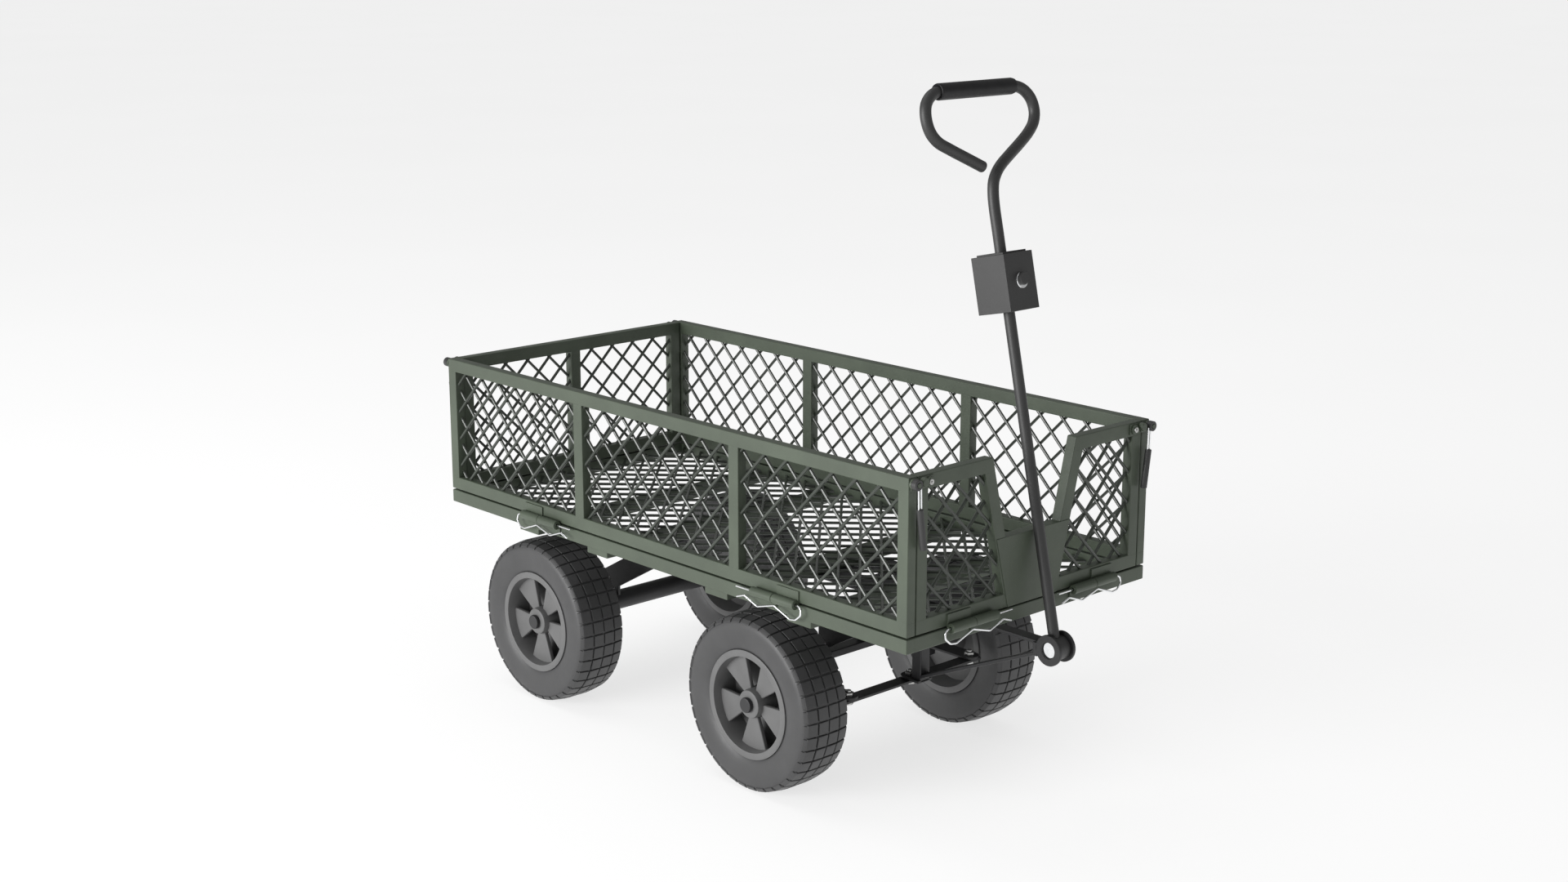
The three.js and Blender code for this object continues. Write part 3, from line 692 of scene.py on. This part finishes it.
def front_panel():
    """Two wings beside a notch, which a plate closes low down."""
    edge = FRONT
    inward = -edge.outward()
    ledge_z = 127
    bm = bmesh.new()
    rail(bm, edge, END_HALF, PANEL_BASE, INNER_LOW)
    for sign in (-1, 1):
        upright(bm, edge, sign * END_HALF, sign * (END_HALF - FACE))
        top = [(END_HALF, PANEL_TOP), (END_HALF, INNER_HIGH), (98.8, INNER_HIGH), (105, PANEL_TOP)]
        slab(bm, [edge.point(sign * x, 0, z) for x, z in top], inward, TUBE, TUBE_EDGE)
        post = [(45, 24), (70, 128), (99.5, INNER_HIGH + OVERLAP), (125, INNER_HIGH + OVERLAP),
                (96, 128), (71, 24)]
        slab(bm, [edge.point(sign * x, 0, z) for x, z in post], inward, TUBE, TUBE_EDGE)
    shield = [(-62, PANEL_BASE), (62, PANEL_BASE), (93, ledge_z), (-93, ledge_z)]
    slab(bm, [edge.point(x, -1.0, z) for x, z in shield], edge.outward(), 2.2, 0.5)
    ledge = [(-70, ledge_z - 2.5), (70, ledge_z - 2.5), (70, ledge_z), (-70, ledge_z)]
    slab(bm, [edge.point(x, -0.8, z) for x, z in ledge], inward, TUBE - 0.8, 0.4)
    upper_hinges(bm, edge)
    finish_piece("front_frame", bm, "deck", GREEN, ["front_panel"])

    low, high = INNER_LOW - 4, INNER_HIGH + 4
    far = END_HALF - FACE + INTO_TUBE
    for name, sign in zip(edge.ends, (-1, 1)):
        wing = [(sign * x, z) for x, z in ((70, low), (91, 128), (120, high), (far, high), (far, low))]
        if sign > 0:
            wing.reverse()
        bm = bmesh.new()
        lattice(bm, wing, panel_layers(-168.7, 84.7), lambda a, b, d: edge.point(a, d, b))
        finish_piece(f"front_rods_{name}", bm, "deck", ROD_GREEN, [f"front_mesh_{name}"])


# ------------------------------------------------------------------ corner latches


def stud(bm, edge, along, height, out, length, radius, sides, rounding):
    """A round boss, pin or screw head standing out from the panel's face."""
    foot = edge.point(along, out, height)
    bar(bm, foot, foot + edge.outward() * length, radius, sides, rounding)


def latch_plate(edge, sign, corner, body):
    """Bracket on the panel's corner with a boss, a hook and the pin that the lever swings on."""
    bm = bmesh.new()
    edge.block(bm, (sign * 249, sign * 302), (0.3, 2.3), (249, 268), 0.8, 2)
    stud(bm, edge, sign * 260, 258, 2.0, 4.5, 8.6, 28, 1.6)
    stud(bm, edge, sign * 277, 261, 2.0, 11, 7.6, 28, 2.4)
    edge.block(bm, (sign * 271, sign * 288), (5.5, 9.5), (252, 259), 1.6, 3)
    stud(bm, edge, sign * LATCH_X, LATCH_Z, 0.8, 16.5, 4, 16, 0.8)
    stud(bm, edge, sign * LATCH_X, LATCH_Z, 0.8, 4.4, 8.6, 28, 1.2)
    finish_piece(f"latch_plate_{corner}", bm, body, GREEN, [f"latch_bracket_{corner}"])


def latch_screw(edge, sign, corner, body):
    bm = bmesh.new()
    stud(bm, edge, sign * 260, 258, 6.0, 2.8, 5.2, 24, 1.3)
    stud(bm, edge, sign * 260, 258, 6.0, 4.4, 2.2, 6, 0.5)
    finish_piece(f"latch_screw_{corner}", bm, body, ZINC, [])


def latch_lever(edge, sign, corner, body):
    """Eye on the pin, a sleeved grip hanging below it and the two wires between them."""
    bm = bmesh.new()
    eye = [(5.5, 8.2), (6.3, 9), (15.2, 9), (16, 8.2), (16, 4.6), (5.5, 4.6)]
    turned(bm, eye, 28)
    turn = Matrix.Rotation(math.pi / 2 * edge.sign, 4, "Z")
    place = Matrix.Translation(edge.point(sign * LATCH_X, 0, LATCH_Z))
    bmesh.ops.transform(bm, matrix=place @ turn, verts=bm.verts)
    top = edge.point(sign * 290.5, LATCH_OUT, 219)
    low = edge.point(sign * 281, LATCH_OUT, 150)
    steps = 8
    sweep(bm, [top.lerp(low, i / steps) for i in range(steps + 1)], 5.8, 20, 1.4)
    finish_piece(f"latch_lever_grip_{corner}", bm, body, CHARCOAL,
                 [f"latch_lever_{corner}"])
    bm = bmesh.new()
    for offset in (-3.0, 3.0):
        above = edge.point(sign * 291.5 + offset, LATCH_OUT, LATCH_Z - 2)
        below = edge.point(sign * 290 + offset, LATCH_OUT, 208)
        bar(bm, above, below, 1.5, 12)
    finish_piece(f"latch_links_{corner}", bm, body, CHROME, [])


def latches():
    for edge in (FRONT, REAR):
        for end, sign in zip(edge.ends, (-1, 1)):
            corner = f"{edge.name}_{end}"
            latch_plate(edge, sign, corner, edge.body)
            latch_screw(edge, sign, corner, edge.body)
            latch_lever(edge, sign, corner, f"latch_{corner}")


# ------------------------------------------------------------------ wheels

TREAD_ROWS = [
    # offset across the tyre, width, radius of the block's middle, lean
    (-36.4, 21.5, 156.9, -9),
    (-12.3, 22.6, 159.0, 0),
    (12.3, 22.6, 159.0, 0),
    (36.4, 21.5, 156.9, 9),
]
CARCASS = [
    # half of the carcass: offset from the middle, radius, from the bead round to the tread
    (45.5, 100.6), (47.6, 104), (49.6, 111), (51.2, 121), (51.9, 132), (51.8, 142),
    (50.4, 149.5), (47.2, 154.4), (43, 156.4), (34, 157.5), (22, 158.6), (8, 159.3),
]
RIM_RING = [
    (48.4, 88.0), (49.2, 90.5), (49.2, 97.5), (48.0, 100.1), (36, 100.1), (30, 93), (-30, 93),
    (-36, 100.1), (-48, 100.1), (-49, 97.5), (-49, 90.5), (-48.4, 88), (-30, 85), (30, 85),
]
WEB = [(-6, 24), (-2, 24), (-2, 87), (-6, 87)]
HUB = [(44.2, 9), (44.2, 22.5), (42.5, 25.2), (36, 26.5), (10, 29), (-44, 24), (-44, 9)]
SPOKE = [(-9.5, 22), (9.5, 22), (24, 60), (34, 87), (-34, 87), (-24, 60)]


def wheel_places():
    """End, side, which way the wheel's outer face looks, and where its axle is."""
    for side, out in (("right", -1), ("left", 1)):
        yield "front", side, out, KING_Y
        yield "rear", side, out, REAR_Y


def lug(bm, turn, offset, radius, lean, size, edge):
    """One moulded rubber block on the carcass."""
    place = Matrix.Translation((offset, 0, radius)) @ Matrix.Rotation(math.radians(lean), 4, "Y")
    spin = Matrix.Rotation(turn, 4, "X")
    made = bmesh.ops.create_cube(bm, size=1, matrix=spin @ place @ Matrix.Diagonal((*size, 1)))
    round_edges(bm, edges_of(made["verts"]), edge, 2)


def tyre(bm):
    """Smooth carcass with rounded shoulders, four rows of tread blocks and a scalloped edge."""
    turned(bm, CARCASS + [(-a, r) for a, r in reversed(CARCASS)], 96)
    step = 2 * math.pi / TREAD_BLOCKS
    length = step * WHEEL_RADIUS - TREAD_GROOVE
    for k in range(TREAD_BLOCKS):
        for offset, width, radius, lean in TREAD_ROWS:
            lug(bm, k * step, offset, radius, lean, (width, length, TREAD_HEIGHT), 1.7)
        for sign in (-1, 1):
            lug(bm, k * step, sign * 47.8, 153.0, sign * 52, (8.5, length - 2.5, 4.6), 1.5)


def rim(bm, out):
    """Rim ring and barrel, five dished wedge spokes in front of a web, and a stepped hub."""
    for profile, steps in ((RIM_RING, 72), (WEB, 48), (HUB, 48)):
        turned(bm, [(out * a, r) for a, r in profile], steps)
    for k in range(SPOKES):
        part = bmesh.new()
        slab(part, [(out * 23, u, v) for u, v in SPOKE], X * out, 9, 2.4, 3)
        join_part(bm, part, Matrix.Rotation(2 * math.pi * k / SPOKES + math.pi, 4, "X"))


def wheels():
    crisp = 38
    for end, side, out, y in wheel_places():
        place = Matrix.Translation((out * WHEEL_X, y, AXLE_Z))
        wheel = f"{end}_{side}"
        bm = bmesh.new()
        tyre(bm)
        finish_piece(f"tread_tyre_{wheel}", bm, f"wheel_{wheel}", TYRE, [f"tyre_{wheel}"],
                     crisp, place)
        bm = bmesh.new()
        rim(bm, out)
        finish_piece(f"spoked_rim_{wheel}", bm, f"wheel_{wheel}", RIM, [f"rim_{wheel}"],
                     crisp, place)


# ------------------------------------------------------------------ axles and steering


def axle_end(bm, sx, y):
    """The stub through a wheel and its end cap."""
    bar(bm, (sx * NUT_FROM, y, AXLE_Z), (sx * NUT_TO, y, AXLE_Z), 14, 32, 2.2)
    bar(bm, (sx * 190, y, AXLE_Z), (sx * NUT_FROM, y, AXLE_Z), 8, 20)


def rear_axle():
    bm = bmesh.new()
    bar(bm, (-198, REAR_Y, AXLE_Z), (198, REAR_Y, AXLE_Z), 19.5, 40, 1.2)
    for sx in (-1, 1):
        axle_end(bm, sx, REAR_Y)
        bar(bm, (sx * 197, REAR_Y, AXLE_Z), (sx * 203, REAR_Y, AXLE_Z), 16, 28, 1)
    finish_piece("rear_axle_tube", bm, "deck", BLACK, ["rear_axle"])


def strut_edge(y, foot_y, foot_z, rise):
    """Height of a strut's sloping lower edge at y."""
    return foot_z + rise * (foot_y - y)


def strut_plate(bm, sx, outline):
    x = sx * STRUT_X - STRUT_PLATE / 2
    slab(bm, [(x, y, z) for y, z in outline], X, STRUT_PLATE, 1.0)


def rear_strut(name, sx):
    """Plate from the rear axle forward and up to a bolted foot under the cross member."""
    foot = (383, -198, 0.56)
    near, far, top = 404, 150, 200
    meets = foot[0] - (UNDER_CROSS - foot[1] - STRUT_DEPTH) / foot[2]
    bm = bmesh.new()
    strut_plate(bm, sx, [
        (362, -205), (near, -205), (near, strut_edge(near, *foot) + STRUT_DEPTH), (meets, UNDER_CROSS),
        (far, UNDER_CROSS), (far, strut_edge(far, *foot)), (362, strut_edge(362, *foot))])
    inner, outer = sx * STRUT_X - STRUT_PLATE / 2, sx * (STRUT_X + 26)
    block(bm, (inner, 140, UNDER_CROSS - 5), (outer, top, UNDER_CROSS - 0.3), 1.0)
    for y in (153, 187):
        x = sx * (STRUT_X + 14)
        bar(bm, (x, y, UNDER_CROSS - 10), (x, y, UNDER_CROSS - 4), 6, 6, 0.8)
    finish_piece(f"rear_brace_{name}", bm, "deck", BLACK, [f"rear_strut_{name}"])


def front_strut(name, sx):
    """Plate from the front beam forward and up to the foremost cross member."""
    foot = (KING_Y, BEAM_TOP, 0.55)
    near, far = KING_Y + BEAM_HALF_WIDTH, -404
    meets = foot[0] - (UNDER_CROSS - foot[1] - STRUT_DEPTH) / foot[2]
    bm = bmesh.new()
    strut_plate(bm, sx, [
        (near, BEAM_TOP), (near, strut_edge(near, *foot) + STRUT_DEPTH), (meets, UNDER_CROSS),
        (far, UNDER_CROSS), (far, strut_edge(far, *foot)), (KING_Y, BEAM_TOP)])
    finish_piece(f"front_brace_{name}", bm, "deck", BLACK, [f"front_strut_{name}"])


def struts():
    for name, sx in (("right", -1), ("left", 1)):
        rear_strut(name, sx)
        front_strut(name, sx)


def cradle(bm):
    """Plate between the front cross members, with a round hole above the pivot post."""
    half, reach, hole, depth = 85, 50, 24, 4
    low, high = UNDER_CROSS - depth, UNDER_CROSS - 0.2
    corners = [bm.verts.new((x, KING_Y + y, low)) for x, y in rectangle(-half, half, -reach, reach)]
    sides = [bm.edges.new(pair) for pair in zip(corners, corners[1:] + corners[:1])]
    bmesh.ops.subdivide_edges(bm, edges=sides, cuts=5)
    outer = list(bm.edges)
    ring = bmesh.ops.create_circle(bm, segments=len(outer), radius=hole,
                                   matrix=Matrix.Translation((0, KING_Y, low)))
    made = bmesh.ops.bridge_loops(bm, edges=outer + list(edges_of(ring["verts"])))
    thicken(bm, made["faces"], Z * (high - low))
    for y0, y1 in ((KING_Y + reach, -140), (-414, KING_Y - reach)):
        block(bm, (-half, y0, low), (half, y1, high), 0.8, 2)


def front_axle():
    bm = bmesh.new()
    block(bm, (-178, KING_Y - BEAM_HALF_WIDTH, -177), (178, KING_Y + BEAM_HALF_WIDTH, BEAM_TOP), 2)
    for x in (-KING_X, KING_X):
        bar(bm, (x, KING_Y, -200), (x, KING_Y, -176), 15, 32, 1)
    finish_piece("front_axle_tube", bm, "deck", BLACK, ["front_axle_beam"])
    bm = bmesh.new()
    cradle(bm)
    bar(bm, (0, KING_Y, -162.7), (0, KING_Y, -68.3), 17, 32, 1.5)
    bar(bm, (0, KING_Y, -70), (0, KING_Y, -58), 8, 20)
    bar(bm, (0, KING_Y, -61.7), (0, KING_Y, -54), 13, 6, 1.2)
    finish_piece("pivot_post", bm, "deck", BLACK, ["tongue_post"])


def rounded_strip(y0, y1, half, x=0, steps=10):
    """Outline in plan of a flat bar with a round end at y1."""
    sign = 1 if y1 > y0 else -1
    points = [(x - half, y0), (x + half, y0)]
    for i in range(steps + 1):
        turn = math.pi * i / steps
        points.append((x + half * math.cos(turn), y1 + sign * half * math.sin(turn)))
    return points


def arm_bolt(bm, x, y):
    """Hexagon head and washer above the two flat bars, and the nut below them."""
    bar(bm, (x, y, -207.5), (x, y, -201), 10, 6, 1.2)
    bar(bm, (x, y, -202), (x, y, -197.5), 5.5, 18, 0.8)
    bar(bm, (x, y, -223.5), (x, y, -217.9), 10, 6, 1.0)


def steering():
    """Two knuckles with their kingpins and arms, and the tie rod under the arms."""
    for name, sx in (("right", -1), ("left", 1)):
        x = sx * KING_X
        bm = bmesh.new()
        bar(bm, (x, KING_Y, -212), (x, KING_Y, -157), 8.6, 20)
        bar(bm, (x, KING_Y, -207.6), (x, KING_Y, -200.3), 15, 28, 1)
        bar(bm, (x, KING_Y, -162.7), (x, KING_Y, -154), 14, 6, 1.2)
        block(bm, (x - 15, KING_Y - 15, AXLE_Z - 13), (x + 15, KING_Y + 15, -207), 2)
        bar(bm, (x, KING_Y, AXLE_Z), (sx * 200, KING_Y, AXLE_Z), 11, 24, 1)
        axle_end(bm, sx, KING_Y)
        slab(bm, [(a, b, -212) for a, b in rounded_strip(KING_Y + 15, ARM_TIP, 18, x)], Z, 5, 0.9)
        bar(bm, (x, ARM_TIP, -223), (x, ARM_TIP, -200), 6, 16)
        finish_piece(f"steering_knuckle_{name}", bm, f"knuckle_{name}", BLACK,
                     [f"knuckle_{name}"])
        bm = bmesh.new()
        arm_bolt(bm, x, ARM_TIP)
        finish_piece(f"arm_bolt_{name}", bm, f"knuckle_{name}", ZINC, [])
    bm = bmesh.new()
    half, half_width = 176, 14
    outline = rectangle(-half, half, ARM_TIP - half_width, ARM_TIP + half_width)
    slab(bm, [(a, b, -217.6) for a, b in outline], Z, 5.1, 1.0)
    finish_piece("steering_tie_rod", bm, "tie_rod", BLACK, ["tie_rod"])


def tongue():
    """Upper and lower straps from the pivot post to the yoke, whose cheeks hold the handle."""
    yoke_front, yoke_back = SPOOL_Y + 24, SPOOL_Y + 34
    post_front = -395
    bm = bmesh.new()
    slab(bm, [(a, b, -68) for a, b in rounded_strip(SPOOL_Y + 30, KING_Y, 13)], Z, 6, 0.9)
    block(bm, (-12, post_front, -212), (12, -372, -62), 2)
    slab(bm, [(a, b, -212) for a, b in rounded_strip(post_front, ARM_TIP, 18)], Z, 5, 0.9)
    lower = [(-388, -206), (-388, -200), (yoke_front + 4, -80), (yoke_front + 4, -86)]
    slab(bm, [(-12.5, y, z) for y, z in lower], X, 25, 0.9)
    block(bm, (-20.6, yoke_front, -87), (20.6, yoke_back, -62), 1.5)
    bar(bm, (0, ARM_TIP, -223), (0, ARM_TIP, -200), 6, 16)
    cheek = [(14.8, 14.3), (14.8, 26.3), (15.6, 27.1), (19.8, 27.1), (20.6, 26.3), (20.6, 14.9),
             (20.0, 14.3)]
    for sx in (-1, 1):
        turned(bm, [(sx * a, r) for a, r in cheek], 56, (0, SPOOL_Y, SPOOL_Z))
    finish_piece("tongue_frame", bm, "tongue", BLACK, ["tongue"])
    bm = bmesh.new()
    arm_bolt(bm, 0, ARM_TIP)
    finish_piece("foot_bolt", bm, "tongue", ZINC, [])


# ------------------------------------------------------------------ handle

HANDLE = Matrix.Translation((0, SPOOL_Y, SPOOL_Z)) @ Matrix.Rotation(-LEAN, 4, "X")
LOOP = [
    # sideways, along the shaft
    (0, 599), (0, 640), (0, 700), (0, 755), (2, 775), (7, 793), (18, 808), (31, 819), (57, 835), (86, 852),
    (110, 868), (126, 884), (132, 902), (128, 922), (114, 938), (94, LOOP_TOP - 1), (60, LOOP_TOP),
    (0, LOOP_TOP), (-60, LOOP_TOP), (-96, LOOP_TOP), (-114, 942), (-128, 929), (-133, 908), (-128, 884),
    (-114, 867), (-88, 853), (-50, 835), (-14, 818),
]


def shaft():
    """The barrel between the yoke's cheeks, the lower shaft on it and the pin through both."""
    half = 14.5
    corner = 0.8
    barrel = [(-half, 14.3), (-half, 21 - corner), (corner - half, 21), (half - corner, 21),
              (half, 21 - corner), (half, 14.3)]
    bm = bmesh.new()
    turned(bm, barrel, 48)
    bar(bm, (0, 0, 18), (0, 0, SPLIT), SHAFT, 32)
    finish_piece("lower_shaft", bm, "handle", CHARCOAL, ["handle_lower"], matrix=HANDLE)
    bm = bmesh.new()
    bar(bm, (-17, 0, 0), (17, 0, 0), 13.7, 40, 0.6)
    finish_piece("pivot_pin", bm, "handle", CHROME, ["pivot_tube"], matrix=HANDLE)


def hitch_housing():
    """Square housing round the joint of the two shafts, with a smaller lid on top."""
    bm = bmesh.new()
    block(bm, (-35.6, -37.2, 575), (35.6, 36.1, 671.5), 0.9)
    block(bm, (-28.6, -30.2, 671.0), (28.6, 29.1, 674.5), 0.6)
    finish_piece("hitch_housing", bm, "handle", CHARCOAL, ["hitch_box"], matrix=HANDLE)


def hitch_pin():
    """Round knob, bright washer under it and the pin, pointing out of the housing's front."""
    stand = HANDLE @ Matrix.Translation((0, 0, PIN_AT)) @ Matrix.Rotation(-math.pi / 2, 4, "Z")
    cap = [(39.0, 0.0), (39.0, 10.8), (44.0, 10.8), (45.4, 9.4), (45.4, 0.0)]
    bm = bmesh.new()
    turned(bm, cap, 40, closed=False)
    finish_piece("hitch_knob", bm, "hitch_pin", CHARCOAL, [], matrix=stand)
    washer = [(37.5, 0.0), (37.5, 12.8), (38.8, 13.4), (39.8, 12.8), (40.0, 11.4), (40.0, 0.0)]
    bm = bmesh.new()
    turned(bm, washer, 40, (0, 0, -2.5), closed=False)
    bar(bm, (-19, 0, 0), (38, 0, 0), 5, 20)
    finish_piece("hitch_pin_collar", bm, "hitch_pin", CHROME, ["hitch_pin"], matrix=stand)


def handle_loop():
    """The upper shaft, bent round into a D whose end stops short of the shaft."""
    bm = bmesh.new()
    sweep(bm, smooth_path([(x, 0, s) for x, s in LOOP], 6), SHAFT, 28, 1.5)
    finish_piece("upper_loop", bm, "handle", CHARCOAL, ["handle_upper"], matrix=HANDLE)


def grip_sleeve():
    sleeve = [(-98, 10.2), (-99, 12.0), (-98.4, 13.4), (-96, 14.1), (80, 14.1), (85, 13), (87, 11.4),
              (87, 10.2)]
    bm = bmesh.new()
    turned(bm, sleeve, 40)
    finish_piece("grip_sleeve", bm, "handle", GRIP, ["handle_grip"],
                 matrix=HANDLE @ Matrix.Translation((0, 0, LOOP_TOP)))


def handle():
    shaft()
    hitch_housing()
    handle_loop()
    hitch_pin()
    grip_sleeve()


# ------------------------------------------------------------------ surroundings


def stage():
    """A wide sheet of pale matt paper under the cart, lit a little from within."""
    bm = bmesh.new()
    bmesh.ops.create_grid(bm, x_segments=1, y_segments=1, size=40)
    mesh = bpy.data.meshes.new("floor_sheet")
    bm.to_mesh(mesh)
    bm.free()
    paper = Surface("pale_floor", 0.9)
    paper.shader.inputs["Specular IOR Level"].default_value = 0
    paper.shader.inputs["Emission Color"].default_value = (1, 1, 1, 1)
    paper.shader.inputs["Emission Strength"].default_value = PAPER_GLOW
    paper.colour(paper.ramp(paper.noise(0.6, 2), greys(0.47, 0.49)))
    mesh.materials.append(paper.material)
    sheet = bpy.data.objects.new("floor_sheet", mesh)
    bpy.context.scene.collection.objects.link(sheet)


def lamp(name, place, target, size, power):
    data = bpy.data.lights.new(name, "AREA")
    data.shape = "RECTANGLE"
    data.size, data.size_y = size
    data.energy = power
    made = bpy.data.objects.new(name, data)
    made.location = place
    made.rotation_euler = (Vector(target) - Vector(place)).to_track_quat("-Z", "Y").to_euler()
    bpy.context.scene.collection.objects.link(made)


def lighting():
    """A soft sky, a large lamp facing the right panel and a small one overhead."""
    world = bpy.data.worlds.new("studio")
    bpy.context.scene.world = world
    world.use_nodes = True
    background = world.node_tree.nodes["Background"]
    background.inputs["Color"].default_value = (1, 1, 1, 1)
    background.inputs["Strength"].default_value = SKY
    lamp("side_panel_light", (-8.3, 1.6, 1.9), (0, 0, 0.45), (5.8, 3.6), 710)
    lamp("overhead", (-0.8, 1.6, 4.6), (0, 0, 0.3), (3, 3), 25)
    bpy.context.scene.view_settings.view_transform = "Standard"


def build():
    deck()
    floor()
    lower_hinges()
    hairpins()
    side_panels()
    rear_panel()
    front_panel()
    latches()
    wheels()
    rear_axle()
    front_axle()
    struts()
    steering()
    tongue()
    handle()
    stage()
    lighting()


build()
